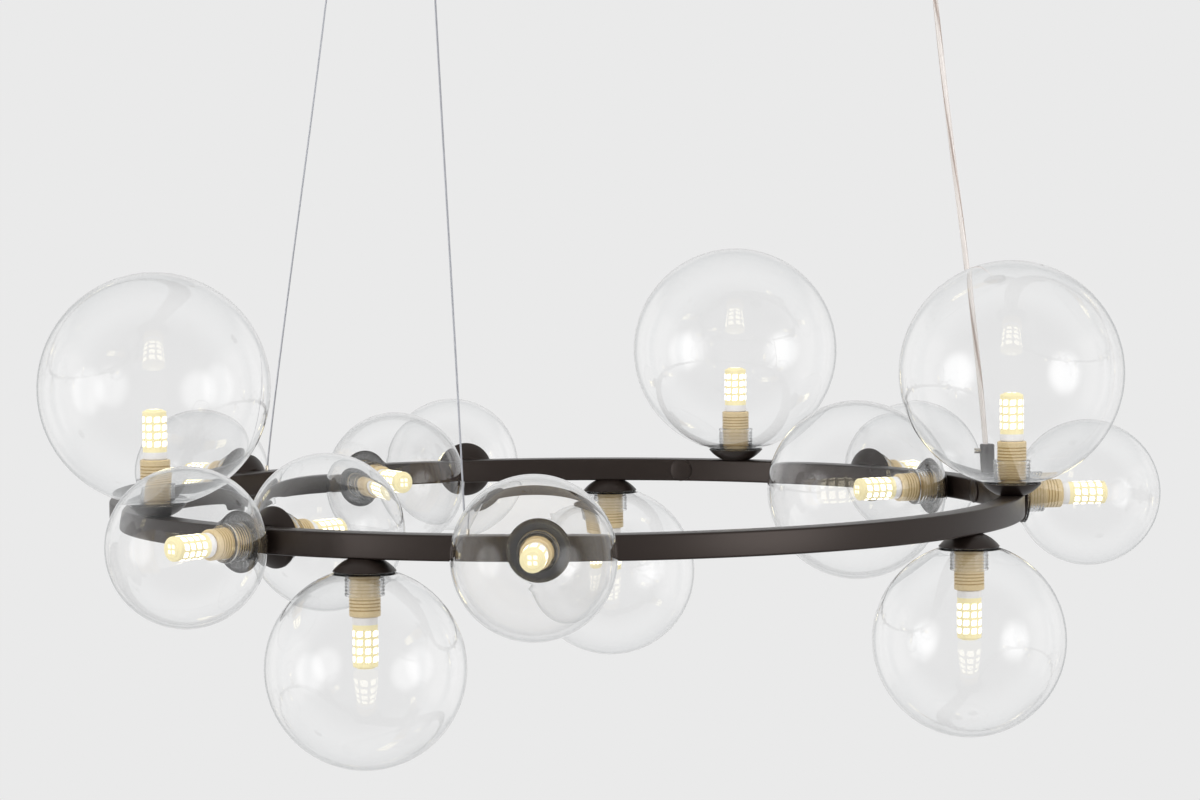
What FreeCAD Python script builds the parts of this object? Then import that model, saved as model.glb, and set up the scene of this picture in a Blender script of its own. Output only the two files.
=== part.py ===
"""Orb chandelier: a square-tube ring on two steel wires and its own power cord,
with fifteen clear glass globes that face up, down, inwards and outwards.

Millimetres, +Z up. The origin is in the ceiling plane, at the centre of the
circle through the three hanging points.
"""
import FreeCAD, Part
import math
import os
import re

import Sketcher

V = FreeCAD.Vector
Z_AXIS = V(0, 0, 1)

# Driving dimensions
SIZES = {
    # Ring of square steel tube
    "ring_radius": 300.0,       # centre line of the tube
    "tube_width": 16.0,
    "tube_wall": 1.2,
    "drop": 420.0,              # ceiling to the middle of the ring
    "ring_shift": 2.1,          # the ring hangs this much off the anchors' centre
    # Spun cup that carries each globe, measured out from the tube's face
    "cup_flat": 9.5,
    "cup_rim": 19.7,
    "cup_depth": 7.7,
    "cup_wall": 0.8,
    # Threaded nipple that holds cup and lampholder on the tube
    "nipple_radius": 5.0,
    "nipple_bore": 4.0,
    "nipple_reach": 6.0,        # how far it enters the lampholder
    "hole_clearance": 0.1,
    "boss_radius": 6.3,
    "boss_height": 3.0,
    "nut_circumradius": 7.5,
    "nut_height": 2.0,
    # Clear washer and globe
    "washer_height": 0.6,
    "washer_edge": 0.3,         # how far the washer stays inside the rim
    "seat_radius": 17.5,        # flat foot of the globe
    "glass_wall": 3.0,
    "neck_bore": 10.1,
    "neck_wall": 2.3,
    "neck_length": 15.0,
    "large_globe": 75.0,
    "middle_globe": 62.5,
    "small_globe": 50.0,
    # Lampholder
    "holder_radius": 9.75,
    "holder_length": 33.0,
    "holder_socket": 7.4,
    "socket_depth": 8.7,
    "chamber_radius": 6.6,
    "chamber_floor": 2.4,       # web between nipple seat and chamber
    "holder_chamfer": 1.0,
    "ridge_pitch": 2.1,
    "ridge_count": 13,
    "ridge_groove": 0.5,
    "ridge_start": 2.6,
    # Contacts in the lampholder
    "contact_width": 3.0,
    "contact_height": 0.8,
    "contact_inner": 0.6,
    "contact_outer": 6.0,
    "sleeve_radius": 1.5,
    "sleeve_height": 7.2,
    # Two-pin lamp
    "lamp_radius": 8.0,
    "lamp_base_radius": 7.2,
    "lamp_length": 32.2,        # the part that stands beyond the lampholder
    "lamp_gap": 0.3,
    "lamp_cap_radius": 5.2,
    "lamp_cap_height": 1.6,
    "pin_radius": 0.7,
    "pin_spacing": 9.0,
    "pin_length": 14.0,
    # Conductors in the tube
    "lead_radius": 1.0,
    "lead_offset": 1.3,
    "branch_radius": 0.55,
    # Domed covers of the wiring holes
    "cap_radius": 8.0,
    "cap_edge": 0.8,
    "cap_height": 2.0,
    "cap_hole": 6.0,
    "plug_depth": 1.6,
    "plug_clearance": 0.1,
    # Steel wires
    "wire_radius": 0.6,
    "wire_straight": 8.0,       # upright length above the ferrule and below the clamp
    "wire_play": 0.1,
    "ferrule_radius": 1.2,
    "ferrule_height": 4.0,
    "stop_radius": 2.0,
    "stop_height": 4.0,
    # Power cord and its grip on the ring
    "cord_radius": 1.9,
    "cord_straight": 16.0,      # upright length above the grip and below the gland
    "grip_radius": 5.15,
    "grip_height": 24.0,
    "grip_bore": 2.0,
    "grip_chamfer": 0.6,
    "spigot_radius": 4.0,
    "spigot_length": 4.2,
    "cord_tuck": 0.7,           # the cord ends this far above the spigot's end
    # Side screws
    "screw_radius": 1.9,
    "screw_stand": 4.0,         # how far the head stands out
    "screw_gap": 0.05,
    "screw_play": 0.1,          # round the screw in its hole
    "screw_level": 5.0,         # below the top of the grip
    "slot_width": 0.6,
    "slot_depth": 0.8,
    # Ceiling anchors
    "anchor_circle": 252.9,
    "anchor_turn": 10.74,
    "mount_hole": 2.25,
    "base_radius": 11.0,
    "base_height": 3.0,
    "base_spigot": 6.0,
    "clamp_radius": 7.0,
    "clamp_height": 24.0,
    "head_room": 5.0,           # space for the ceiling screw's head
    "clamp_screw_level": 7.0,   # above the clamp's lower end
    # Ceiling rose
    "strap_length": 62.0,
    "strap_width": 14.0,
    "strap_height": 2.0,
    "tab_height": 10.0,
    "rose_radius": 36.0,
    "rose_height": 36.0,
    "rose_wall": 1.0,
    "rose_hole": 5.0,
    "rose_screw": 1.5,
    "rose_screw_head": 2.8,
    "rose_screw_length": 5.0,
    "rose_screw_level": 7.0,
    "block_length": 20.0,
    "block_width": 12.0,
    "block_height": 10.0,
    "block_leg": 2.0,
    "block_gap": 8.0,
    "gland_radius": 8.0,
    "gland_height": 10.0,
    "gland_nut": 4.0,
}

# Each lamp: azimuth in degrees from +X, the way it faces, and its globe
LAMPS = [
    (208.0, "up", "large_globe"),
    (230.0, "out", "small_globe"),
    (229.7, "in", "small_globe"),
    (121.7, "in", "small_globe"),
    (103.9, "out", "small_globe"),
    (266.8, "out", "small_globe"),
    (245.4, "down", "middle_globe"),
    (83.9, "down", "middle_globe"),
    (65.4, "up", "large_globe"),
    (25.2, "in", "middle_globe"),
    (45.6, "out", "small_globe"),
    (350.5, "up", "large_globe"),
    (8.7, "out", "small_globe"),
    (329.1, "down", "middle_globe"),
    (137.5, "out", "small_globe"),
]
WIRE_FEET = {"wire_left": 136.5, "wire_front": 258.0}
CORD_FOOT = 14.0
CAP_AZIMUTHS = [73.2, 14.6]
ANCHOR_ORDER = {"power_cord": 0, "wire_left": 1, "wire_front": 2}

doc = FreeCAD.newDocument("OrbChandelier")
sheet = doc.addObject("Spreadsheet::Sheet", "Sizes")
for row, (alias, number) in enumerate(SIZES.items(), start=1):
    sheet.set(f"A{row}", str(number))
    sheet.setAlias(f"A{row}", alias)
doc.recompute()


def bound(formula):
    """The formula with every size in it pointing at its cell."""
    return re.sub(r"[a-z]+(_[a-z]+)*", lambda word: "<<Sizes>>." + word.group()
                  if word.group() in SIZES else word.group(), str(formula))


def value(formula):
    """The number that the formula gives with the sheet's present sizes."""
    return float(sheet.evalExpression(bound(formula)))


def bind(thing, **formulas):
    """Bind each named property of an object to a formula of sizes."""
    for name, formula in formulas.items():
        thing.setExpression(name, bound(formula))
    return thing


# Heights along a lamp's own axis, from the tube's face
HOLDER_FOOT = "cup_wall + nut_height"
NIPPLE_END = f"{HOLDER_FOOT} + nipple_reach"
CHAMBER = f"{NIPPLE_END} + chamber_floor"
HOLDER_END = f"{HOLDER_FOOT} + holder_length"
SOCKET = f"{HOLDER_END} - socket_depth"
GLASS_FOOT = "cup_depth + washer_height"
TUBE_HALF = "tube_width / 2"


def origin_plane(body, role):
    """One of the body's own origin planes, by its role."""
    return next(plane for plane in body.Origin.OriginFeatures if plane.Role == role)


def sketch_in(body, name, role, height="0"):
    """An empty sketch on one of the body's origin planes, raised by height."""
    sketch = body.newObject("Sketcher::SketchObject", name)
    sketch.AttachmentSupport = [(origin_plane(body, role), "")]
    sketch.MapMode = "FlatFace"
    if height != "0":
        sketch.setExpression("AttachmentOffset.Base.z", bound(height))
    return sketch


def hold(sketch, kind, formula, *where):
    """A distance constraint whose value follows a formula of sizes."""
    number = sketch.addConstraint(Sketcher.Constraint(kind, *where, value(formula)))
    name = f"{kind}_{number}"
    sketch.renameConstraint(number, name)
    sketch.setExpression(f"Constraints.{name}", bound(formula))


def pin_corner(sketch, edge, corner):
    """Hold the start point of an edge at a corner (across, height)."""
    for kind, formula, axis in (("DistanceX", corner[0], -2), ("DistanceY", corner[1], -1)):
        if formula == "0":
            sketch.addConstraint(Sketcher.Constraint("PointOnObject", edge, 1, axis))
        else:
            hold(sketch, kind, formula, -1, 1, edge, 1)


def outline(sketch, corners, bulges=()):
    """A closed outline through the corners, its edges straight, except those
    that start at a corner in bulges: arcs centred on the sketch's upright axis,
    turning the way that the mark says (1 is anticlockwise)."""
    bulges = dict(bulges)
    first = sketch.GeometryCount
    points = [V(value(across), value(up), 0) for across, up in corners]
    count = len(points)
    for number, start in enumerate(points):
        end = points[(number + 1) % count]
        if number in bulges:
            rise = end.y - start.y
            middle = (start.y + end.y) / 2 + (end.x ** 2 - start.x ** 2) / (2 * rise)
            centre = V(0, middle, 0)
            angles = [math.atan2(p.y - middle, p.x) for p in (start, end)]
            if bulges[number] < 0:
                angles.reverse()
            circle = Part.Circle(centre, Z_AXIS, start.distanceToPoint(centre))
            sketch.addGeometry(Part.ArcOfCircle(circle, *angles), False)
        else:
            sketch.addGeometry(Part.LineSegment(start, end), False)
    for number in range(count):
        edge = first + number
        following = first + (number + 1) % count
        tail = 1 if bulges.get(number, 1) < 0 else 2
        head = 2 if bulges.get((number + 1) % count, 1) < 0 else 1
        sketch.addConstraint(Sketcher.Constraint("Coincident", edge, tail, following, head))
    for number, corner in enumerate(corners):
        if number in bulges:
            before = first + (number - 1) % count
            place_end(sketch, before, corner)
            sketch.addConstraint(Sketcher.Constraint("PointOnObject", first + number, 3, -2))
        else:
            pin_corner(sketch, first + number, corner)


def place_end(sketch, edge, corner):
    """Hold the end point of a straight edge at a corner (across, height)."""
    for kind, formula, axis in (("DistanceX", corner[0], -2), ("DistanceY", corner[1], -1)):
        if formula == "0":
            sketch.addConstraint(Sketcher.Constraint("PointOnObject", edge, 2, axis))
        else:
            hold(sketch, kind, formula, -1, 1, edge, 2)


def turned(name, corners, bulges=()):
    """A body turned about its own Z axis from an outline of (radius, height)."""
    body = doc.addObject("PartDesign::Body", name)
    sketch = sketch_in(body, f"{name}_outline", "XZ_Plane")
    outline(sketch, corners, bulges)
    turn = body.newObject("PartDesign::Revolution", f"{name}_turn")
    turn.Profile = sketch
    turn.ReferenceAxis = (sketch, ["V_Axis"])
    turn.Angle = 360
    return body


def tube_piece(name, inner, outer, low, high):
    """A turned body with a plain bore between two heights."""
    return turned(name, [(inner, low), (outer, low), (outer, high), (inner, high)])


def cylinder(name, radius, height, place):
    """A cylinder bound to its sizes, with its axis along the placement's Z."""
    piece = bind(doc.addObject("Part::Cylinder", name), Radius=radius, Height=height)
    piece.Placement = place
    return piece


def group(name, members):
    """Several separate solids held as one compound."""
    compound = doc.addObject("Part::Compound", name)
    compound.Links = members
    return compound


def copies(name, template, places):
    """Separate copies of one piece at each of the places, as one compound."""
    links = []
    for number, place in enumerate(places, start=1):
        link = doc.addObject("App::Link", f"{name}_{number:02d}")
        link.LinkedObject = template
        link.Placement = place
        links.append(link)
    return group(name, links)


def cut(name, base, tools):
    """The base less its tools."""
    piece = doc.addObject("Part::Cut", name)
    piece.Base = base
    piece.Tool = tools[0] if len(tools) == 1 else group(f"{name}_tools", tools)
    return piece


def fused(name, shapes):
    """The shapes joined into one solid."""
    piece = doc.addObject("Part::MultiFuse", name)
    piece.Shapes = shapes
    return piece


def facing(along, across):
    """The rotation that turns local Z to along and local X to across."""
    return FreeCAD.Rotation(across, along.cross(across), along, "ZXY")


RING = FreeCAD.Placement(V(-value("ring_shift"), 0, -value("drop")), FreeCAD.Rotation())


def on_ring(point, along, across):
    """A placement given in the ring's own frame."""
    return RING * FreeCAD.Placement(point, facing(along, across))


def radial(azimuth):
    """The unit vector away from the ring's axis at an azimuth in degrees."""
    return V(math.cos(math.radians(azimuth)), math.sin(math.radians(azimuth)), 0)


def seat_on_tube(azimuth, way, flat, depth=0.0):
    """Where a round flat of the radius flat sits on the tube, and its axis.

    depth moves the seat to a parallel face inside the tube, which is tube_wall
    below the outer one. A flat on a hollow face rests on its own edge."""
    middle = value("ring_radius")
    half = value(TUBE_HALF) - depth
    out = radial(azimuth)
    if way in ("up", "down"):
        along = Z_AXIS if way == "up" else -Z_AXIS
        return out * middle + along * half, along, out
    if way == "out":
        radius = middle + half
        hollow = depth > 0
        along = out
    else:
        radius = middle - half
        hollow = depth == 0
        along = -out
    if hollow:
        radius = math.sqrt(radius ** 2 - flat ** 2)
    return out * radius, along, Z_AXIS


def lamp_place(azimuth, way):
    """The placement of a lamp unit, its Z along the lamp's axis."""
    point, along, across = seat_on_tube(azimuth, way, value("cup_flat"))
    return on_ring(point, along, across)


LAMP_PLACES = [lamp_place(azimuth, way) for azimuth, way, globe in LAMPS]

# Ring of square tube, with a hole for each thing that passes its walls
ring_body = doc.addObject("PartDesign::Body", "ring_body")
ring_sketch = sketch_in(ring_body, "ring_section", "XZ_Plane")
for inset in ("0", "tube_wall"):
    near = f"ring_radius - {TUBE_HALF} + {inset}"
    far = f"ring_radius + {TUBE_HALF} - {inset}"
    low = f"-{TUBE_HALF} + {inset}"
    high = f"{TUBE_HALF} - {inset}"
    outline(ring_sketch, [(near, low), (far, low), (far, high), (near, high)])
ring_turn = ring_body.newObject("PartDesign::Revolution", "ring_turn")
ring_turn.Profile = ring_sketch
ring_turn.ReferenceAxis = (ring_sketch, ["V_Axis"])
ring_turn.Angle = 360
ring_body.Placement = RING

holes = []
through = FreeCAD.Placement(V(0, 0, -value("tube_wall") * 2), FreeCAD.Rotation())
for number, place in enumerate(LAMP_PLACES, start=1):
    holes.append(cylinder(f"nipple_hole_{number:02d}", "nipple_radius + hole_clearance",
                          "tube_wall * 3", place * through))


def top_place(azimuth, height):
    """A placement over the tube's centre line, height above its top face."""
    point = radial(azimuth) * value("ring_radius") + Z_AXIS * (value(TUBE_HALF) + height)
    return on_ring(point, Z_AXIS, V(1, 0, 0))


def cap_place(azimuth):
    """The placement of a domed cap on the tube's inner face."""
    point, along, across = seat_on_tube(azimuth, "in", value("cap_radius"))
    return on_ring(point, along, across)


below_wall = -value("tube_wall") * 2
for name, azimuth in WIRE_FEET.items():
    holes.append(cylinder(f"{name}_hole", "wire_radius + hole_clearance", "tube_wall * 3",
                          top_place(azimuth, below_wall)))
holes.append(cylinder("grip_hole", "spigot_radius + hole_clearance", "tube_wall * 3",
                      top_place(CORD_FOOT, below_wall)))
for number, azimuth in enumerate(CAP_AZIMUTHS, start=1):
    holes.append(cylinder(f"cap_hole_{number}", "cap_hole", "tube_wall * 3",
                          cap_place(azimuth) * through))
ring_tube = cut("ring_tube", ring_body, holes)

# Threaded bosses welded inside the tube
boss = tube_piece("boss", "nipple_radius", "boss_radius", "-boss_height", "0")
grip_boss = tube_piece("grip_boss", "spigot_radius", "boss_radius", "-boss_height", "0")
boss_links = []
boss_seats = [(azimuth, way, boss) for azimuth, way, globe in LAMPS]
boss_seats.append((CORD_FOOT, "up", grip_boss))
for number, (azimuth, way, template) in enumerate(boss_seats, start=1):
    point, along, across = seat_on_tube(azimuth, way, value("boss_radius"), value("tube_wall"))
    link = doc.addObject("App::Link", f"ring_boss_{number:02d}")
    link.LinkedObject = template
    link.Placement = on_ring(point, along, across)
    boss_links.append(link)
ring_bosses = group("ring_bosses", boss_links)

# Domed caps over the wiring holes
cap = turned("cap", [
    ("0", "-plug_depth"), ("cap_hole - plug_clearance", "-plug_depth"),
    ("cap_hole - plug_clearance", "0"), ("cap_radius", "0"), ("cap_radius", "cap_edge"),
    ("0", "cap_height")], {4: 1})
access_caps = copies("access_caps", cap, [cap_place(azimuth) for azimuth in CAP_AZIMUTHS])

# Cups, nipples, nuts and washers
cup = turned("cup", [
    ("nipple_radius + hole_clearance", "0"), ("cup_flat", "0"), ("cup_rim", "cup_depth"),
    ("cup_rim - cup_wall", "cup_depth"), ("cup_flat - cup_wall / 2", "cup_wall"),
    ("nipple_radius + hole_clearance", "cup_wall")], {1: 1, 3: -1})
lamp_cups = copies("lamp_cups", cup, LAMP_PLACES)

nipple = tube_piece("nipple", "nipple_bore", "nipple_radius", "-tube_wall - boss_height", NIPPLE_END)
lamp_nipples = copies("lamp_nipples", nipple, LAMP_PLACES)

nut_blank = bind(doc.addObject("Part::Prism", "nut_blank"), Circumradius="nut_circumradius",
                 Height="nut_height")
nut_blank.Polygon = 6
nut_bore = cylinder("nut_bore", "nipple_radius", "nut_height", FreeCAD.Placement())
nut = cut("nut", nut_blank, [nut_bore])
on_cup_floor = FreeCAD.Placement(V(0, 0, value("cup_wall")), FreeCAD.Rotation())
cup_nuts = copies("cup_nuts", nut, [place * on_cup_floor for place in LAMP_PLACES])

washer = tube_piece("washer", "neck_bore", "cup_rim - washer_edge", "cup_depth", GLASS_FOOT)
globe_washers = copies("globe_washers", washer, LAMP_PLACES)

# Lampholder: a ribbed barrel, bored for the nipple, the contacts and the lamp
holder = turned("holder", [
    ("nipple_radius", HOLDER_FOOT), ("holder_radius", HOLDER_FOOT),
    ("holder_radius", f"{HOLDER_END} - holder_chamfer"),
    ("holder_radius - holder_chamfer", HOLDER_END), ("holder_socket", HOLDER_END),
    ("holder_socket", SOCKET), ("chamber_radius", SOCKET), ("chamber_radius", CHAMBER),
    ("nipple_bore", CHAMBER), ("nipple_bore", NIPPLE_END), ("nipple_radius", NIPPLE_END)])
groove_sketch = sketch_in(holder, "ridge_outline", "XZ_Plane")
ridge_low = f"{HOLDER_FOOT} + ridge_start"
outline(groove_sketch, [
    ("holder_radius - ridge_groove", f"{ridge_low} + ridge_pitch / 2"),
    ("holder_radius + ridge_groove", f"{ridge_low} + ridge_pitch / 8"),
    ("holder_radius + ridge_groove", f"{ridge_low} + ridge_pitch * 7 / 8")])
groove = holder.newObject("PartDesign::Groove", "ridge_groove_cut")
groove.Profile = groove_sketch
groove.ReferenceAxis = (groove_sketch, ["V_Axis"])
groove.Angle = 360
ridges = holder.newObject("PartDesign::LinearPattern", "ridges")
ridges.Originals = [groove]
ridges.Direction = (groove_sketch, ["V_Axis"])
bind(ridges, Length="ridge_pitch * (ridge_count - 1)", Occurrences="ridge_count")
holder.Tip = ridges
lampholders = copies("lampholders", holder, LAMP_PLACES)


def rectangle(sketch, left, right, low, high):
    """A rectangle between four bound edges."""
    outline(sketch, [(left, low), (right, low), (right, high), (left, high)])


def pad(body, name, sketch, length, backwards=False):
    """A pad of the sketch, bound to its length."""
    feature = body.newObject("PartDesign::Pad", name)
    feature.Profile = sketch
    feature.Reversed = backwards
    return bind(feature, Length=length)


def ring_of(sketch, across, radius):
    """A circle centred on the sketch's level axis, across from the origin."""
    number = sketch.addGeometry(Part.Circle(V(value(across), 0, 0), Z_AXIS, value(radius)), False)
    sketch.addConstraint(Sketcher.Constraint("PointOnObject", number, 3, -1))
    hold(sketch, "DistanceX", across, -1, 1, number, 3)
    hold(sketch, "Radius", radius, number)


# Contact: a plate on the chamber's floor with a sleeve for one lamp pin
contact = doc.addObject("PartDesign::Body", "contact")
plate_sketch = sketch_in(contact, "contact_plate_outline", "XY_Plane", CHAMBER)
rectangle(plate_sketch, "contact_inner", "contact_outer", "-contact_width / 2", "contact_width / 2")
pad(contact, "contact_plate", plate_sketch, "contact_height")
sleeve_sketch = sketch_in(contact, "contact_sleeve_outline", "XY_Plane",
                          f"{CHAMBER} + contact_height")
ring_of(sleeve_sketch, "pin_spacing / 2", "sleeve_radius")
ring_of(sleeve_sketch, "pin_spacing / 2", "pin_radius + screw_gap")
pad(contact, "contact_sleeve", sleeve_sketch, "sleeve_height")
half_turn = FreeCAD.Placement(V(0, 0, 0), FreeCAD.Rotation(Z_AXIS, 180))
contact_places = []
for place in LAMP_PLACES:
    contact_places += [place, place * half_turn]
lamp_contacts = copies("lamp_contacts", contact, contact_places)

# Globes: a round shell with a flat foot and a neck turned inwards
globes = []
for number, ((azimuth, way, globe), place) in enumerate(zip(LAMPS, LAMP_PLACES), start=1):
    centre = f"{GLASS_FOOT} + sqrt({globe} ^ 2 - seat_radius ^ 2)"
    inner = f"({globe} - glass_wall)"
    neck = "(neck_bore + neck_wall)"
    piece = turned(f"globe_{number:02d}", [
        ("neck_bore", GLASS_FOOT), ("seat_radius", GLASS_FOOT), ("0", f"{centre} + {globe}"),
        ("0", f"{centre} + {inner}"), (neck, f"{centre} - sqrt({inner} ^ 2 - {neck} ^ 2)"),
        (neck, f"{GLASS_FOOT} + neck_length"), ("neck_bore", f"{GLASS_FOOT} + neck_length")],
        {1: 1, 3: -1})
    piece.Placement = place
    globes.append(piece)

# Two-pin lamps
lamps = []
for number, place in enumerate(LAMP_PLACES, start=1):
    body_low = f"{HOLDER_END} + lamp_gap"
    tip = f"{HOLDER_END} + lamp_length"
    base_low = f"{SOCKET} + lamp_gap"
    piece = turned(f"lamp_{number:02d}", [
        ("0", base_low), ("lamp_base_radius", base_low), ("lamp_base_radius", body_low),
        ("lamp_radius", body_low), ("lamp_radius", f"{tip} - lamp_cap_height"),
        ("lamp_cap_radius", tip), ("0", tip)])
    pin_sketch = sketch_in(piece, f"lamp_{number:02d}_pin_outline", "XY_Plane", base_low)
    ring_of(pin_sketch, "pin_spacing / 2", "pin_radius")
    ring_of(pin_sketch, "-pin_spacing / 2", "pin_radius")
    pad(piece, f"lamp_{number:02d}_pins", pin_sketch, "pin_length", backwards=True)
    piece.Placement = place
    lamps.append(piece)


def conductor(name, away, rise):
    """One conductor: a closed run in the tube, a branch to each lampholder's
    contact and one to the cord. away and rise place the run in the section."""
    torus = bind(doc.addObject("Part::Torus", f"{name}_run"), Radius1=f"ring_radius + {away}",
                 Radius2="lead_radius")
    torus.Placement = RING * FreeCAD.Placement(V(0, 0, value(rise)), FreeCAD.Rotation())
    shapes = [torus]
    ends = [(azimuth, way, value(CHAMBER)) for azimuth, way, globe in LAMPS]
    ends.append((CORD_FOOT, "up", -value("spigot_length") + value("cord_tuck")))
    for number, (azimuth, way, end) in enumerate(ends, start=1):
        point, along, across = seat_on_tube(azimuth, way, value("cup_flat"))
        start = radial(azimuth) * (value("ring_radius") + value(away)) + Z_AXIS * value(rise)
        start += along * value("lead_radius + screw_gap")
        reach = (point - start).dot(along) + end
        branch = bind(doc.addObject("Part::Cylinder", f"{name}_branch_{number:02d}"),
                      Radius="branch_radius")
        branch.Height = reach
        branch.Placement = on_ring(start, along, across)
        shapes.append(branch)
    return group(name, shapes)


live_lead = conductor("live_lead", "-lead_offset", "lead_offset")
neutral_lead = conductor("neutral_lead", "lead_offset", "-lead_offset")


def anchor_point(name):
    """Where a wire or the cord meets the ceiling."""
    turn = value("anchor_turn") + 120 * ANCHOR_ORDER[name]
    return radial(turn) * value("anchor_circle")


def hung(name, points, radius):
    """A round line through the points: straight runs joined by tangent arcs."""
    points = [V(*point) for point in points]
    edges = []
    start = points[0]
    for before, corner, after in zip(points, points[1:], points[2:]):
        arriving = (corner - before).normalize()
        leaving = (after - corner).normalize()
        turn = arriving.getAngle(leaving)
        tangent = 0.45 * min(before.distanceToPoint(corner), corner.distanceToPoint(after))
        bend = tangent / math.tan(turn / 2)
        entry = corner - arriving * tangent
        leave = corner + leaving * tangent
        inward = (leaving - arriving).normalize()
        middle = corner + inward * (bend / math.cos(turn / 2) - bend)
        edges += [Part.LineSegment(start, entry).toShape(), Part.Arc(entry, middle, leave).toShape()]
        start = leave
        print(f"{name}: bend radius {bend:.1f} mm over {math.degrees(turn):.1f} degrees")
    edges.append(Part.LineSegment(start, points[-1]).toShape())
    spine = Part.Wire(edges)
    first = (points[1] - points[0]).normalize()
    ring = Part.Wire([Part.Circle(points[0], first, radius).toShape()])
    shape = spine.makePipeShell([ring], True, False)
    section = math.pi * radius ** 2
    assert abs(shape.Volume / (section * spine.Length) - 1) < 0.01, name
    piece = doc.addObject("Part::Feature", name)
    piece.Shape = shape
    return piece


# Steel wires, each upright in its ferrule and below its clamp
STOP_FOOT = f"{TUBE_HALF} - tube_wall - stop_height"
CLAMP_END = "base_height + clamp_height"
WIRE_END = "base_height + base_spigot + head_room"
wires = []
for name, azimuth in WIRE_FEET.items():
    foot = RING.multVec(radial(azimuth) * value("ring_radius"))
    head = anchor_point(name)
    low = RING.Base.z
    ferrule_top = low + value(f"{TUBE_HALF} + ferrule_height + wire_straight")
    clamp_mouth = -value(f"{CLAMP_END} + wire_straight")
    wires.append(hung(name, [
        (foot.x, foot.y, low + value(STOP_FOOT)), (foot.x, foot.y, ferrule_top),
        (head.x, head.y, clamp_mouth), (head.x, head.y, -value(WIRE_END))],
        value("wire_radius")))
wire_left, wire_front = wires

ferrule = tube_piece("ferrule", "wire_radius", "ferrule_radius", "0", "ferrule_height")
wire_ferrules = copies("wire_ferrules", ferrule,
                       [top_place(azimuth, 0) for azimuth in WIRE_FEET.values()])
stop = tube_piece("stop", "wire_radius", "stop_radius", "0", "stop_height")
wire_stops = copies("wire_stops", stop, [
    top_place(azimuth, value(f"{STOP_FOOT} - {TUBE_HALF}")) for azimuth in WIRE_FEET.values()])

# Power cord, and the grip that holds it on the ring
ROSE_MOUTH = "rose_height + gland_height"
BLOCK_FOOT = "strap_height + block_gap + block_height"
cord_foot = RING.multVec(radial(CORD_FOOT) * value("ring_radius"))
cord_head = anchor_point("power_cord")
cord_low = RING.Base.z + value(f"{TUBE_HALF} - spigot_length + cord_tuck")
cord_bend = RING.Base.z + value(f"{TUBE_HALF} + grip_height + cord_straight")
cord_top_bend = -value(f"{ROSE_MOUTH} + cord_straight")
power_cord = hung("power_cord", [
    (cord_foot.x, cord_foot.y, cord_low), (cord_foot.x, cord_foot.y, cord_bend),
    (cord_head.x, cord_head.y, cord_top_bend),
    (cord_head.x, cord_head.y, -value(BLOCK_FOOT))], value("cord_radius"))

grip_body = turned("grip_body", [
    ("grip_bore", "-spigot_length"), ("spigot_radius", "-spigot_length"), ("spigot_radius", "0"),
    ("grip_radius", "0"), ("grip_radius", "grip_height - grip_chamfer"),
    ("grip_radius - grip_chamfer", "grip_height"), ("grip_bore", "grip_height")])
grip_body.Placement = top_place(CORD_FOOT, 0)


def side_place(centre, away):
    """A placement whose Z runs away from a vertical axis through the centre."""
    return FreeCAD.Placement(centre, facing(away, Z_AXIS))


def side_screw(name, inner, outer, place):
    """A slotted screw along its own Z, from a cord or wire out past its holder."""
    shank = cylinder(f"{name}_shank", "screw_radius", f"{outer} - {inner}",
                     place * FreeCAD.Placement(V(0, 0, value(inner)), FreeCAD.Rotation()))
    slot = bind(doc.addObject("Part::Box", f"{name}_slot"), Length="slot_width",
                Width="screw_radius * 4", Height="slot_depth * 2")
    corner = V(-value("slot_width") / 2, -value("screw_radius") * 2, value(f"{outer} - slot_depth"))
    slot.Placement = place * FreeCAD.Placement(corner, FreeCAD.Rotation())
    return cut(name, shank, [slot])


grip_level = cord_foot + Z_AXIS * value(f"{TUBE_HALF} + grip_height - screw_level")
grip_side = side_place(grip_level, V(-1, 0, 0))
grip_screw_hole = cylinder("grip_screw_hole", "screw_radius + screw_play",
                           "grip_radius + screw_stand", grip_side)
cord_grip = cut("cord_grip", grip_body, [grip_screw_hole])
grip_screw = side_screw("grip_screw", "cord_radius + screw_gap", "grip_radius + screw_stand", grip_side)

# Ceiling anchors of the two wires
base = turned("base", [
    ("mount_hole", "0"), ("mount_hole", "-base_height - base_spigot"),
    ("nipple_radius", "-base_height - base_spigot"), ("nipple_radius", "-base_height"),
    ("base_radius", "-base_height"), ("base_radius", "0")])
wire_heads = [FreeCAD.Placement(anchor_point(name), FreeCAD.Rotation()) for name in WIRE_FEET]
anchor_bases = copies("anchor_bases", base, wire_heads)

CLAMP_BORE = "wire_radius + wire_play"
clamp_body = turned("clamp_body", [
    (CLAMP_BORE, f"-({CLAMP_END})"), ("clamp_radius", f"-({CLAMP_END})"),
    ("clamp_radius", "-base_height"), ("nipple_radius", "-base_height"),
    ("nipple_radius", f"-({WIRE_END})"), (CLAMP_BORE, f"-({WIRE_END})")])
clamp_level = V(0, 0, -value(f"{CLAMP_END} - clamp_screw_level"))
clamp_hole = cylinder("clamp_hole", "screw_radius + screw_play", "clamp_radius + screw_stand",
                      side_place(clamp_level, V(-1, 0, 0)))
clamp = cut("clamp", clamp_body, [clamp_hole])
wire_clamps = copies("wire_clamps", clamp, wire_heads)
clamp_screws = []
for name, head in zip(("clamp_screw_left", "clamp_screw_front"), wire_heads):
    clamp_screws.append(side_screw(name, "wire_radius + screw_gap", "clamp_radius + screw_stand / 2",
                                   side_place(head.Base + clamp_level, V(-1, 0, 0))))

# Ceiling rose: a strap, a terminal block, a cover and a gland for the cord
rose = FreeCAD.Placement(cord_head, FreeCAD.Rotation())


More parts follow.
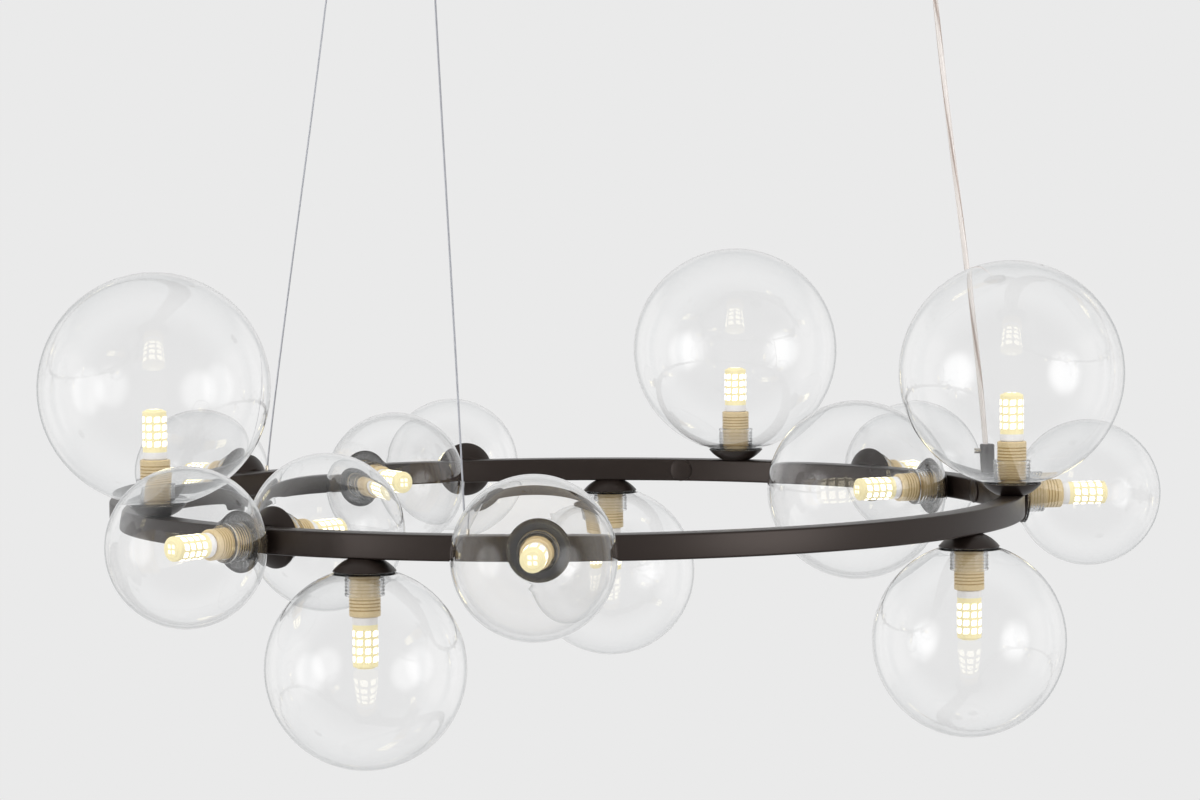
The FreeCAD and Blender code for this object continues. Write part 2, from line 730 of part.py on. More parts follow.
def box(name, length, width, height, corner):
    """A box from a corner in the rose's frame, all bound to sizes."""
    piece = bind(doc.addObject("Part::Box", name), Length=length, Width=width, Height=height)
    piece.Placement = rose * FreeCAD.Placement(V(*[value(c) for c in corner]), FreeCAD.Rotation())
    return piece


def rose_cylinder(name, radius, height, foot):
    """An upright cylinder from its foot's centre in the rose's frame."""
    place = rose * FreeCAD.Placement(V(*[value(c) for c in foot]), FreeCAD.Rotation())
    return cylinder(name, radius, height, place)


def rose_side(sign, level):
    """A placement on the rose's axis whose Z runs along X, to one side."""
    return side_place(cord_head + V(0, 0, -value(level)), V(sign, 0, 0))


strap = box("strap", "strap_length", "strap_width", "strap_height",
            ("-strap_length / 2", "-strap_width / 2", "-strap_height"))
tabs = [box(f"strap_tab_{number}", "strap_height", "strap_width", "tab_height + strap_height",
            (left, "-strap_width / 2", "-tab_height - strap_height"))
        for number, left in enumerate(("-strap_length / 2", "strap_length / 2 - strap_height"), 1)]
strap_shape = fused("strap_shape", [strap] + tabs)
strap_holes = [rose_cylinder("strap_hole", "mount_hole", "strap_height * 2",
                             ("0", "0", "-strap_height * 3 / 2"))]
cover_body = turned("cover_body", [
    ("rose_hole", "-rose_height"), ("rose_radius", "-rose_height"), ("rose_radius", "0"),
    ("rose_radius - rose_wall", "0"), ("rose_radius - rose_wall", "-rose_height + rose_wall"),
    ("rose_hole", "-rose_height + rose_wall")])
cover_body.Placement = rose
cover_holes = []
rose_screw_parts = []
for number, sign in enumerate((-1, 1), start=1):
    side = rose_side(sign, "rose_screw_level")
    strap_holes.append(cylinder(f"strap_screw_hole_{number}", "rose_screw", "rose_radius", side))
    cover_holes.append(cylinder(f"cover_screw_hole_{number}", "rose_screw", "rose_radius * 2", side))
    out = FreeCAD.Placement(V(0, 0, value("rose_radius")), FreeCAD.Rotation())
    back = FreeCAD.Placement(V(0, 0, value("rose_radius - rose_screw_length")), FreeCAD.Rotation())
    shank = cylinder(f"rose_screw_shank_{number}", "rose_screw", "rose_screw_length", side * back)
    head = cylinder(f"rose_screw_head_{number}", "rose_screw_head", "rose_screw", side * out)
    rose_screw_parts.append(fused(f"rose_screw_{number}", [shank, head]))
rose_strap = cut("rose_strap", strap_shape, strap_holes)
rose_cover = cut("rose_cover", cover_body, cover_holes)
rose_screws = group("rose_screws", rose_screw_parts)

block = box("block", "block_length", "block_width", "block_height",
            ("-block_length / 2", "-block_width / 2", f"-({BLOCK_FOOT})"))
legs = [rose_cylinder(f"block_leg_{number}", "block_leg", "block_gap",
                      (f"{side} * (block_length / 2 - block_leg)", "0", "-strap_height - block_gap"))
        for number, side in enumerate(("-1", "1"), start=1)]
terminal_block = fused("terminal_block", [block] + legs)

gland = turned("gland", [
    ("grip_bore", f"-({ROSE_MOUTH})"), ("gland_radius", f"-({ROSE_MOUTH})"),
    ("gland_radius", "-rose_height"), ("rose_hole", "-rose_height"),
    ("rose_hole", "-rose_height + rose_wall + gland_nut"),
    ("grip_bore", "-rose_height + rose_wall + gland_nut")])
gland.Placement = rose

NODES = {
    "ring_tube": ring_tube, "ring_bosses": ring_bosses, "access_caps": access_caps,
    "live_lead": live_lead, "neutral_lead": neutral_lead, "lamp_cups": lamp_cups,
    "lamp_nipples": lamp_nipples, "cup_nuts": cup_nuts, "globe_washers": globe_washers,
    "lampholders": lampholders, "lamp_contacts": lamp_contacts, "wire_left": wire_left,
    "wire_front": wire_front, "wire_ferrules": wire_ferrules, "wire_stops": wire_stops,
    "power_cord": power_cord, "cord_grip": cord_grip, "grip_screw": grip_screw,
    "anchor_bases": anchor_bases, "wire_clamps": wire_clamps,
    "clamp_screw_left": clamp_screws[0], "clamp_screw_front": clamp_screws[1],
    "rose_strap": rose_strap, "rose_cover": rose_cover, "rose_screws": rose_screws,
    "terminal_block": terminal_block, "rose_gland": gland,
}
for number, (globe, lamp) in enumerate(zip(globes, lamps), start=1):
    NODES[f"globe_{number:02d}"] = globe
    NODES[f"lamp_{number:02d}"] = lamp

for name, piece in NODES.items():
    piece.Label = name
doc.recompute()

for item in doc.Objects:
    assert "Invalid" not in item.State and "Error" not in item.State, (item.Name, item.State)
for name, piece in NODES.items():
    assert not piece.Shape.isNull() and piece.Shape.isValid() and piece.Shape.Volume > 0, name

os.makedirs("parts", exist_ok=True)
for name, piece in NODES.items():
    piece.Shape.exportStep(f"parts/{name}.step")
    print(f"{name}: {len(piece.Shape.Solids)} solids, {piece.Shape.Volume:.0f} mm3")
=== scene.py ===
# %% [markdown]
# # An orb chandelier
#
# The chandelier is a ring of square steel tube that hangs on two thin steel
# wires and on its own clear power cord. Fifteen clear glass globes stand on it,
# facing up, down, inwards and outwards, each over a small two-pin lamp.
# The lesson goes from the camera to the finishes, then from the ring out to the
# lamps, and ends with the wires and the studio.

# %% The frame
import math

import bmesh
import bpy
import numpy as np
from mathutils import Matrix, Vector


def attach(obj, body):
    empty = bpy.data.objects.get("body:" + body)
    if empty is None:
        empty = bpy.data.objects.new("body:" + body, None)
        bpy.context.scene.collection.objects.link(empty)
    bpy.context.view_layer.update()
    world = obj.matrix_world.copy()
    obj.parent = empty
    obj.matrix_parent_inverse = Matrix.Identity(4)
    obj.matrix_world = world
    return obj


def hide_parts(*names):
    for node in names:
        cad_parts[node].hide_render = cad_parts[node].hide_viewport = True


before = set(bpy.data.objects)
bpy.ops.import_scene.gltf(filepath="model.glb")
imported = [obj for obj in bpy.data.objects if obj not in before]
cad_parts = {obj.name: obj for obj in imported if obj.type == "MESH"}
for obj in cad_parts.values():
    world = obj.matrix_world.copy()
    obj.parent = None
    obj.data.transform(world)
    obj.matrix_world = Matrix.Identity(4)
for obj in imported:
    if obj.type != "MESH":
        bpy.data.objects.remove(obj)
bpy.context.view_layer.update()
MM = 0.001

# %% [markdown]
# The real chandelier is laid out by a few sizes, the same ones that its
# construction uses. The ring's centre is straight below the ceiling, and every
# lamp is given by its place round the ring, the way it faces and its globe.

# %% Driving sizes, in millimetres
RING_RADIUS = 300.0
TUBE = 16.0
DROP = 420.0
RING_SHIFT = 2.1
CUP_FLAT = 9.5
CUP_RIM = 19.7
CUP_DEPTH = 7.7
CUP_WALL = 0.8
WASHER = 0.6
HOLDER_FOOT = 2.8
HOLDER_END = 35.8
GLASS_FOOT = CUP_DEPTH + WASHER

LAMPS = [
    (208.0, "up", 75.0), (230.0, "out", 50.0), (229.7, "in", 50.0), (121.7, "in", 50.0),
    (103.9, "out", 50.0), (266.8, "out", 50.0), (245.4, "down", 62.5), (83.9, "down", 62.5),
    (65.4, "up", 75.0), (25.2, "in", 62.5), (45.6, "out", 50.0), (350.5, "up", 75.0),
    (8.7, "out", 50.0), (329.1, "down", 62.5), (137.5, "out", 50.0)]
RING_CENTRE = np.array([-RING_SHIFT, 0.0, -DROP])


def radial(azimuth):
    """The level unit vector at an azimuth in degrees from +X."""
    angle = math.radians(azimuth)
    return np.array([math.cos(angle), math.sin(angle), 0.0])


def lamp_frame(azimuth, way):
    """Where a lamp unit starts on the tube, and its three directions: across,
    the third one, and out along the lamp."""
    out, up = radial(azimuth), np.array([0.0, 0.0, 1.0])
    if way in ("up", "down"):
        along = up if way == "up" else -up
        across = out
        start = out * RING_RADIUS + along * TUBE / 2
    elif way == "out":
        along, across = out, up
        start = out * (RING_RADIUS + TUBE / 2)
    else:
        along, across = -out, up
        start = out * math.sqrt((RING_RADIUS - TUBE / 2) ** 2 - CUP_FLAT ** 2)
    return RING_CENTRE + start, np.array([across, np.cross(along, across), along])


LAMP_FRAMES = [lamp_frame(azimuth, way) for azimuth, way, globe in LAMPS]
print("lamps:", len(LAMPS))

# %% [markdown]
# The camera stands where the photographer's did: almost level with the ring,
# nearly three metres away, with a long lens, and turned down a few degrees. Its
# place from the ring's centre and its lens are in millimetres, its turns in
# radians. Three directions at right angles make its turn: right, up, forward.

# %% Camera
CAMERA_OFFSET = np.array([0.0, -2897.8, 255.3])
YAW, PITCH, ROLL = 0.0077983, 0.0636888, -0.0086107
LENS = 128.92
SENSOR_WIDTH = 36.0
NEAREST, FARTHEST = 0.05, 100.0

forward = np.array([math.sin(YAW) * math.cos(PITCH), math.cos(YAW) * math.cos(PITCH),
                    -math.sin(PITCH)])
level = np.array([math.cos(YAW), -math.sin(YAW), 0.0])
upward = np.cross(level, forward)
rolled_right = math.cos(ROLL) * level + math.sin(ROLL) * upward
rolled_up = -math.sin(ROLL) * level + math.cos(ROLL) * upward
camera_data = bpy.data.cameras.new("camera")
camera_data.lens = LENS
camera_data.sensor_width = SENSOR_WIDTH
camera_data.clip_start = NEAREST
camera_data.clip_end = FARTHEST
camera = bpy.data.objects.new("camera", camera_data)
bpy.context.scene.collection.objects.link(camera)
turn = Matrix([rolled_right, rolled_up, -forward]).transposed().to_4x4()
camera.matrix_world = Matrix.Translation((RING_CENTRE + CAMERA_OFFSET) * MM) @ turn
bpy.context.scene.camera = camera
print("camera at", [round(x, 3) for x in camera.location])

# %% [markdown]
# Every finish is a short list of shader nodes. The nodes could be set up by hand
# in the editor, but as function calls a finish reads as a list, from its pattern
# to its shader. One function adds a node with its settings and its links, and
# one turns a screen colour into linear light.

# %% Colours and nodes
TEXTURE_DEPTH = 0.05
NOISE_DETAIL = 2.0


def linear(hex_colour):
    """A screen colour such as "#D6C093" as linear red, green, blue and alpha:
    each channel is divided by 12.92 near black, and follows a 2.4 power above."""
    parts = np.array([int(hex_colour[i:i + 2], 16) for i in (1, 3, 5)]) / 255
    light = np.where(parts <= 0.04045, parts / 12.92, ((parts + 0.055) / 1.055) ** 2.4)
    return (*light, 1.0)


def material(name):
    """A new node material, its tree and its empty output."""
    made = bpy.data.materials.new(name)
    made.use_nodes = True
    made.node_tree.nodes.clear()
    return made, made.node_tree


def node(tree, kind, links=(), **settings):
    """Add a node. A setting names an attribute or an input. Links pair an input
    of the new node, by its name or number, with the output of another node or
    with a plain value."""
    made = tree.nodes.new(kind)
    for name, setting in settings.items():
        if hasattr(made, name):
            setattr(made, name, setting)
        else:
            made.inputs[name.replace("_", " ")].default_value = setting
    for name, source in dict(links).items():
        if isinstance(source, bpy.types.NodeSocket):
            tree.links.new(source, made.inputs[name])
        else:
            made.inputs[name].default_value = source
    return made


def surface(made, tree, shader):
    """Connect the shader to the material's output."""
    node(tree, "ShaderNodeOutputMaterial", {"Surface": shader})
    return made


def grain(tree, size_mm, low, high):
    """Noise in object space whose lumps are about size_mm across, and a
    roughness that follows it from low to high."""
    place = node(tree, "ShaderNodeTexCoord")
    noise = node(tree, "ShaderNodeTexNoise", {"Vector": place.outputs["Object"]},
                 Scale=1 / (size_mm * MM), Detail=NOISE_DETAIL)
    gloss = node(tree, "ShaderNodeMapRange", {"Value": noise.outputs["Fac"]}, To_Min=low,
                 To_Max=high)
    return noise.outputs["Fac"], gloss.outputs["Result"]


# %% [markdown]
# The ring and the cups are mild steel under a satin dark powder coat. Powder melts
# into a fine orange peel, so the highlights are soft and very slightly broken. The
# coat is a warm near-black, and its sheen is a little warm too. The peel is noise
# worked out from its real size, so it stays fine on a long rail and a small cup.

# %% Powder coat
COAT_SHEEN = "#FFEFE8"
COAT_SPECULAR = 0.34
COAT_ROUGHNESS = (0.30, 0.42)
PEEL_SIZE = 0.9
PEEL_STRENGTH = 0.10


def powder_coat(name, colour):
    """A sprayed and baked coat: one noise gives the peel's bump and its slightly
    uneven gloss."""
    made, tree = material(name)
    peel, gloss = grain(tree, PEEL_SIZE, *COAT_ROUGHNESS)
    bump = node(tree, "ShaderNodeBump", {"Height": peel}, Strength=PEEL_STRENGTH,
                Distance=TEXTURE_DEPTH * MM)
    shader = node(tree, "ShaderNodeBsdfPrincipled",
                  {"Normal": bump.outputs["Normal"], "Roughness": gloss},
                  Base_Color=linear(colour), Specular_IOR_Level=COAT_SPECULAR,
                  Specular_Tint=linear(COAT_SHEEN))
    return surface(made, tree, shader.outputs["BSDF"])


charcoal = powder_coat("charcoal_powder_coat", "#1C1613")

# %% [markdown]
# Soda-lime glass is blown to under a millimetre. Light bends at both faces of the
# wall, which draws the thin line just inside each globe's outline. See-through
# paint on a plain sphere would lose that line, so the wall is real. Rays from the
# lamps are let straight through, as a thin wall nearly does. The washers are soft
# clear plastic with a slight haze, through which the dark cup still shows.

# %% Clear glass


def clear_solid(name, colour, index, roughness=0.0):
    """A clear solid that bends light, and lets the lamps' own rays pass."""
    made, tree = material(name)
    glass = node(tree, "ShaderNodeBsdfPrincipled", Base_Color=linear(colour), IOR=index,
                 Roughness=roughness, Transmission_Weight=1.0)
    clear = node(tree, "ShaderNodeBsdfTransparent", Color=linear(colour))
    path = node(tree, "ShaderNodeLightPath")
    both = node(tree, "ShaderNodeMixShader",
                {"Fac": path.outputs["Is Shadow Ray"], 1: glass.outputs["BSDF"],
                 2: clear.outputs["BSDF"]})
    return surface(made, tree, both.outputs["Shader"])


clear_glass = clear_solid("clear_blown_glass", "#FFFFFF", 1.5)
clear_washer = clear_solid("clear_soft_plastic", "#FCFCFC", 1.45, 0.15)

# %% [markdown]
# Mouldings keep a faint texture from their tools, so a highlight on them has a
# soft edge. Plated steel and plain brass throw back the room, and fine marks break
# it up. Only colour, gloss and grain differ, so each family is one function.

# %% Plastics and metals
MOULD_TEXTURE = 1.5
MOULD_STRENGTH = 0.06
MOULD_LOW, MOULD_HIGH = 0.85, 1.15
METAL_MARKS = 0.4
METAL_LOW, METAL_HIGH = 0.7, 1.3


def plastic(name, colour, roughness):
    """A moulding with a faint texture and slightly uneven gloss."""
    made, tree = material(name)
    texture, gloss = grain(tree, MOULD_TEXTURE, roughness * MOULD_LOW, roughness * MOULD_HIGH)
    bump = node(tree, "ShaderNodeBump", {"Height": texture}, Strength=MOULD_STRENGTH,
                Distance=TEXTURE_DEPTH * MM)
    shader = node(tree, "ShaderNodeBsdfPrincipled",
                  {"Normal": bump.outputs["Normal"], "Roughness": gloss},
                  Base_Color=linear(colour))
    return surface(made, tree, shader.outputs["BSDF"])


def metal(name, colour, roughness):
    """A plated or drawn metal, its gloss broken by fine marks."""
    made, tree = material(name)
    gloss = grain(tree, METAL_MARKS, roughness * METAL_LOW, roughness * METAL_HIGH)[1]
    shader = node(tree, "ShaderNodeBsdfPrincipled", {"Roughness": gloss},
                  Base_Color=linear(colour), Metallic=1.0)
    return surface(made, tree, shader.outputs["BSDF"])


# The lampholders' beige is glossy on the ribs. The grooves between them get a darker,
# matt beige, which is painted shade.
holder_beige = plastic("beige_lampholder_moulding", "#D9C295", 0.28)
groove_painted_shade = plastic("beige_painted_groove_shade", "#B3955F", 0.6)
# The nylon and polyamide fittings are nearly matt, so they show their own colour.
black_moulding = plastic("black_nylon", "#161515", 0.45)
grip_moulding = plastic("dark_grey_nylon", "#2E2826", 0.4)
white_moulding = plastic("white_polyamide", "#E4E2DC", 0.4)
# The conductors' sheaths tell live from neutral.
brown_wire = plastic("brown_pvc", "#4A2A18", 0.4)
blue_wire = plastic("blue_pvc", "#2456A0", 0.4)
# Nickel mirrors the room, zinc and the drawn wire only brighten towards it.
nickel = metal("bright_nickel", "#CFC8BC", 0.16)
zinc = metal("zinc_plated_steel", "#B9BABA", 0.34)
wire_steel = metal("stainless_wire", "#94959A", 0.35)
brass = metal("plain_brass", "#C9A45C", 0.3)

# %% [markdown]
# A light-emitting chip under yellow phosphor glows warm white. The lamp's body is
# white ceramic-filled plastic that the chips light up from outside, so the board
# between them glows a little too, and the base hardly at all. Hidden light sources
# could do this, but a surface that glows also shows in the glass and the metal.

# %% Lamp finishes
LAMP_TEXTURE = 1.0
LAMP_LOWEST, LAMP_HIGHEST = 0.34, 0.46


def glowing(name, colour, glow, strength):
    """A plastic with slightly uneven gloss that gives off light of its own."""
    made, tree = material(name)
    gloss = grain(tree, LAMP_TEXTURE, LAMP_LOWEST, LAMP_HIGHEST)[1]
    shader = node(tree, "ShaderNodeBsdfPrincipled", {"Roughness": gloss},
                  Base_Color=linear(colour), Emission_Color=linear(glow),
                  Emission_Strength=strength)
    return surface(made, tree, shader.outputs["BSDF"])


chip_light = glowing("phosphor_chip", "#F6EFB8", "#FFF6DE", 2.4)
end_chip_light = glowing("phosphor_end_chip", "#F6F0CC", "#FFF8E2", 0.7)
lamp_board = glowing("warm_lamp_board", "#E1D5A6", "#FFF2C6", 0.24)
lamp_white = glowing("white_lamp_base", "#E9E7E6", "#FFF4E0", 0.05)
print("materials:", len(bpy.data.materials))

# %% [markdown]
# New pieces are surfaces over a grid of points. A turned part, such as a cup, is
# its outline carried round an axis; the corners of the outline are rounded first,
# because no real edge is perfectly sharp. A Screw modifier on a drawn line would
# do as well, but an array of points is easily placed at all fifteen lamps, and
# each of its sizes has a name.

# %% Turned surfaces
ROUND_STEPS = 5
FLAT_LEAD = 0.25


def rounded(corners, radii, steps=ROUND_STEPS):
    """An outline with each corner replaced by an arc of its radius: the arc
    starts and ends where it touches the two edges, a distance of radius times
    the tangent of half the turn from the corner. Each end gets a second point
    close by on the straight side, so that flat faces shade flat."""
    corners = np.asarray(corners, float)
    made = []
    last = len(corners) - 1
    for number, (corner, radius) in enumerate(zip(corners, radii)):
        if number in (0, last) or radius == 0:
            made.append(corner)
            continue
        before = corners[number - 1] - corner
        after = corners[number + 1] - corner
        before /= np.linalg.norm(before)
        after /= np.linalg.norm(after)
        half = math.acos(np.clip(-before @ after, -1, 1)) / 2
        reach = radius * math.tan(half)
        start, end = corner + before * reach, corner + after * reach
        middle = (before + after) / np.linalg.norm(before + after)
        centre = corner + middle * radius / math.cos(half)
        share = np.linspace(0, 1, steps)[:, None]
        spokes = (start - centre) * (1 - share) + (end - centre) * share
        spokes *= radius / np.linalg.norm(spokes, axis=1, keepdims=True)
        made.append(start + before * radius * FLAT_LEAD)
        made.extend(centre + spokes)
        made.append(end + after * radius * FLAT_LEAD)
    return np.array(made)


def sphere_line(radius, centre, first, last, steps):
    """Points on a circle about (0, centre) from one angle to another, in degrees
    from the axis's far end."""
    angles = np.radians(np.linspace(first, last, steps))
    return np.column_stack([radius * np.sin(angles), centre + radius * np.cos(angles)])


def turned(outline, around):
    """The outline of (radius, height) carried round the axis: each point goes to
    radius times cosine, radius times sine, height."""
    angles = np.linspace(0, 2 * math.pi, around, endpoint=False)
    across = outline[:, :1]
    return np.stack([across * np.cos(angles), across * np.sin(angles),
                     np.repeat(outline[:, 1:], around, axis=1)], axis=-1)


def grid_faces(rows, columns, closed_rows=False):
    """Quads over a grid that closes on itself along its columns, and along its
    rows too if asked."""
    row = np.arange(rows if closed_rows else rows - 1)[:, None]
    column = np.arange(columns)[None, :]
    following, beside = (row + 1) % rows, (column + 1) % columns
    return np.stack([row * columns + column, row * columns + beside,
                     following * columns + beside, following * columns + column],
                    axis=-1).reshape(-1, 4)


def placed(points, lamp):
    """Points in a lamp's own frame, moved to where that lamp is."""
    start, axes = lamp
    return points @ axes + start


MERGE_DISTANCE = 2e-6


class Build:
    """Collects grids of points, in millimetres, with the number of their
    material, and makes one mesh piece of them."""

    def __init__(self):
        self.points, self.faces, self.marks, self.count = [], [], [], 0

    def add(self, grid, mark=0, closed_rows=False, faces=None):
        """Add a grid that closes on itself along its columns, unless its faces are
        given. The mark is one number for all its faces, or one for each."""
        rows, columns = grid.shape[:2]
        if faces is None:
            faces = grid_faces(rows, columns, closed_rows)
        self.points.append(grid.reshape(-1, 3))
        self.faces.append(faces + self.count)
        self.marks.append(np.broadcast_to(mark, len(faces)))
        self.count += rows * columns
        return self

    def piece(self, name, *finishes):
        """The mesh, its coincident points merged so that seams and poles are
        closed, with its faces turned outwards."""
        points = np.concatenate(self.points) * MM
        faces = np.concatenate(self.faces)
        mesh = bpy.data.meshes.new(name)
        mesh.from_pydata(points, [], faces)
        mesh.polygons.foreach_set("material_index", np.concatenate(self.marks).astype(np.int32))
        for finish in finishes:
            mesh.materials.append(finish)
        work = bmesh.new()
        work.from_mesh(mesh)
        bmesh.ops.remove_doubles(work, verts=work.verts, dist=MERGE_DISTANCE)
        loose = [edge for edge in work.edges if not edge.link_faces]
        bmesh.ops.delete(work, geom=loose, context="EDGES")
        bmesh.ops.recalc_face_normals(work, faces=work.faces)
        work.to_mesh(mesh)
        work.free()
        mesh.shade_smooth()
        made = bpy.data.objects.new(name, mesh)
        bpy.context.scene.collection.objects.link(made)
        return made


def at_every_lamp(outline, around, marks=0):
    """A build of the closed outline, turned round the axis of each lamp unit."""
    build = Build()
    for lamp in LAMP_FRAMES:
        build.add(placed(turned(outline, around), lamp), marks, closed_rows=True)
    return build


def dress(piece, body, solid):
    """Say which body a piece rides on, and the solid that it
    stands for."""
    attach(piece, body)
    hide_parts(solid)
    print(piece.name, "rides on", body, "and stands for", solid)
    return piece


# %% [markdown]
# The ring is one closed sweep. Its section is a square with rounded corners, the
# shape that welded tube has from the rolls that form it. Each corner is a quarter
# circle turned to its place, with a point just outside each of its ends, so that
# the flats shade flat. A round curve with a square bevel would look much the same,
# but the points of a section keep the corner's radius exact.

# %% Ring
TUBE_CORNER = 1.3
CORNER_STEPS = 6
CORNER_LEAD = 0.6
RING_STEPS = 360

corner_angles = np.radians(np.linspace(0, 90, CORNER_STEPS))
quarter = np.column_stack([np.cos(corner_angles), np.sin(corner_angles)]) * TUBE_CORNER
core = TUBE / 2 - TUBE_CORNER
section = []
for number, (side, level_side) in enumerate(((1, 1), (-1, 1), (-1, -1), (1, -1))):
    turn_by = math.radians(90 * number)
    cosine, sine = math.cos(turn_by), math.sin(turn_by)
    spin = np.array([[cosine, sine], [-sine, cosine]])
    arc = quarter @ spin + np.array([side, level_side]) * core
    lead_in = arc[0] + (arc[0] - arc[1]) * CORNER_LEAD
    lead_out = arc[-1] + (arc[-1] - arc[-2]) * CORNER_LEAD
    section += [lead_in, *arc, lead_out]
section = np.array(section) + [RING_RADIUS, 0]
ring_grid = turned(section, RING_STEPS) + RING_CENTRE
ring = Build().add(ring_grid, closed_rows=True).piece("ring", charcoal)
dress(ring, "fixture", "ring_tube")

# %% [markdown]
# Two domed caps close the wiring holes in the ring's inner face. Flattened spheres
# would run out to a sharp rim, so the outline has an edge of its own and then an
# ellipse, flat at the middle and steep at its shoulder, which catches light.

# %% Wiring caps
CAP_RADIUS = 8.0
CAP_EDGE = 0.8
CAP_HEIGHT = 2.0
CAP_SUNK = 0.4
CAP_AZIMUTHS = (73.2, 14.6)
CAP_STEPS = 48
DOME_STEPS = 14

dome = np.radians(np.linspace(0, 90, DOME_STEPS))
cap_foot = [[0, -CAP_SUNK], [CAP_RADIUS, -CAP_SUNK], [CAP_RADIUS, CAP_EDGE / 2]]
cap_dome = np.column_stack([CAP_RADIUS * np.cos(dome),
                            CAP_EDGE + (CAP_HEIGHT - CAP_EDGE) * np.sin(dome)])
cap_profile = np.concatenate([cap_foot, cap_dome])
caps = Build()
cap_seat = math.sqrt((RING_RADIUS - TUBE / 2) ** 2 - CAP_RADIUS ** 2)
for azimuth in CAP_AZIMUTHS:
    inward, up = -radial(azimuth), np.array([0.0, 0.0, 1.0])
    cap_frame = (RING_CENTRE - inward * cap_seat, np.array([up, np.cross(inward, up), inward]))
    caps.add(placed(turned(cap_profile, CAP_STEPS), cap_frame))
dress(caps.piece("wiring_caps", charcoal), "fixture", "access_caps")

# %% [markdown]
# Each cup is spun from sheet: a shallow dish on a flat back, with a thin edge. Its
# two faces are arcs through two known points each, so that the flat, the rim and
# the depth come out exactly. A sphere cut in two would miss one of the three.

# %% Cups
CUP_HOLE = 5.1
CUP_STEPS = 64
DISH_STEPS = 16


def dish_line(low, high, steps):
    """Points on the circle, centred on the axis, that passes through two points
    (radius, height)."""
    (r0, h0), (r1, h1) = low, high
    centre = (h0 + h1) / 2 + (r1 ** 2 - r0 ** 2) / (2 * (h1 - h0))
    radius = math.hypot(r0, h0 - centre)
    angles = np.linspace(math.atan2(r0, centre - h0), math.atan2(r1, centre - h1), steps)
    return np.column_stack([radius * np.sin(angles), centre - radius * np.cos(angles)])


cup_outside = dish_line((CUP_FLAT, 0.0), (CUP_RIM, CUP_DEPTH), DISH_STEPS)
cup_inside = dish_line((CUP_FLAT - CUP_WALL / 2, CUP_WALL), (CUP_RIM - CUP_WALL, CUP_DEPTH),
                       DISH_STEPS)
cup_line = np.concatenate([[[CUP_HOLE, 0.0]], cup_outside, cup_inside[::-1],
                           [[CUP_HOLE, CUP_WALL]]])
dress(at_every_lamp(cup_line, CUP_STEPS).piece("cups", charcoal), "fixture",
      "lamp_cups")

# %% [markdown]
# A globe is blown in a mould and its neck is turned inwards, so that the glass
# sits flat on a clear washer on the cup's rim. The mould leaves the neck ringed
# with the turns of its screw thread, and each turn catches its own highlight.
# Solidify could give a sphere its wall, but not this foot and neck, so the whole
# outline is drawn, outside and inside, and carried round.

# %% Globes
SEAT_RADIUS = 17.5
GLASS_WALL = 0.7
GLASS_FLOOR = 1.5
NECK_BORE = 10.1
NECK_WALL = 2.3
NECK_LENGTH = 15.0
THREAD_PITCH = 2.1
THREAD_TURNS = 5
THREAD_DEPTH = 0.5
THREAD_STEPS = 10
BORE_START = 3.0
SEAT_ARC = 3.0
FLOOR_ARC = 4.0
FOOT_ROUND = (0.5, 3.0)
FLOOR_ROUND = (4.0, 0.8)
LIP_ROUND = (0.9, 0.7)
GLOBE_STEPS = 128
GLOBE_ROWS = 80


def thread_line(radius, middle):
    """A ringed wall about a middle height: the radius dips by the depth times
    the squared sine of half a turn for each pitch."""
    half = THREAD_PITCH * THREAD_TURNS / 2
    heights = np.linspace(-half, half, THREAD_TURNS * THREAD_STEPS + 1)
    dip = np.sin(math.pi * (heights + half) / THREAD_PITCH) ** 2
    return np.column_stack([radius - THREAD_DEPTH * dip, middle + heights])


def globe_line(radius):
    """The globe's outline, from the bore's foot round the outside to the far
    pole, and back inside to the flat floor and up the neck. The two circles stop
    a few degrees short of the foot and the floor, where the corners are rounded."""
    centre = GLASS_FOOT + math.sqrt(radius ** 2 - SEAT_RADIUS ** 2)
    inner = radius - GLASS_WALL
    neck = NECK_BORE + NECK_WALL
    floor = GLASS_FOOT + GLASS_FLOOR
    top = GLASS_FOOT + NECK_LENGTH
    seat_angle = 180 - math.degrees(math.asin(SEAT_RADIUS / radius))
    floor_angle = 180 - math.degrees(math.acos((centre - floor) / inner))
    outside = sphere_line(radius, centre, seat_angle - SEAT_ARC, 0, GLOBE_ROWS)
    inside = sphere_line(inner, centre, 0, floor_angle - FLOOR_ARC, GLOBE_ROWS)
    foot = rounded([[NECK_BORE, top - BORE_START], [NECK_BORE, GLASS_FOOT],
                    [SEAT_RADIUS, GLASS_FOOT], outside[0]], [0, *FOOT_ROUND, 0])
    edge = inner * math.sin(math.radians(180 - floor_angle))
    hollow = rounded([inside[-1], [edge, floor], [neck, floor], [neck, top]],
                     [0, *FLOOR_ROUND, 0])
    lip = rounded([[neck, floor], [neck, top], [NECK_BORE, top], [NECK_BORE, top - BORE_START]],
                  [0, *LIP_ROUND, 0])
    return np.concatenate([foot[1:-1], outside, inside[:-1], hollow[1:-1],
                           thread_line(neck, (floor + top) / 2), lip[1:-1]])


for number, ((azimuth, way, radius), lamp) in enumerate(zip(LAMPS, LAMP_FRAMES), start=1):
    grid = placed(turned(globe_line(radius), GLOBE_STEPS), lamp)
    globe = Build().add(grid, closed_rows=True).piece(f"glass_globe_{number:02d}", clear_glass)
    dress(globe, f"globe_{number:02d}", f"globe_{number:02d}")

# %% [markdown]
# A clear soft washer keeps the glass off each cup's rim. It is a flat ring whose
# edges are just broken, because sharp edges in clear plastic show as hard lines.

# %% Washers
WASHER_BORE = 10.6
WASHER_RADIUS = 19.4
WASHER_STEPS = 48

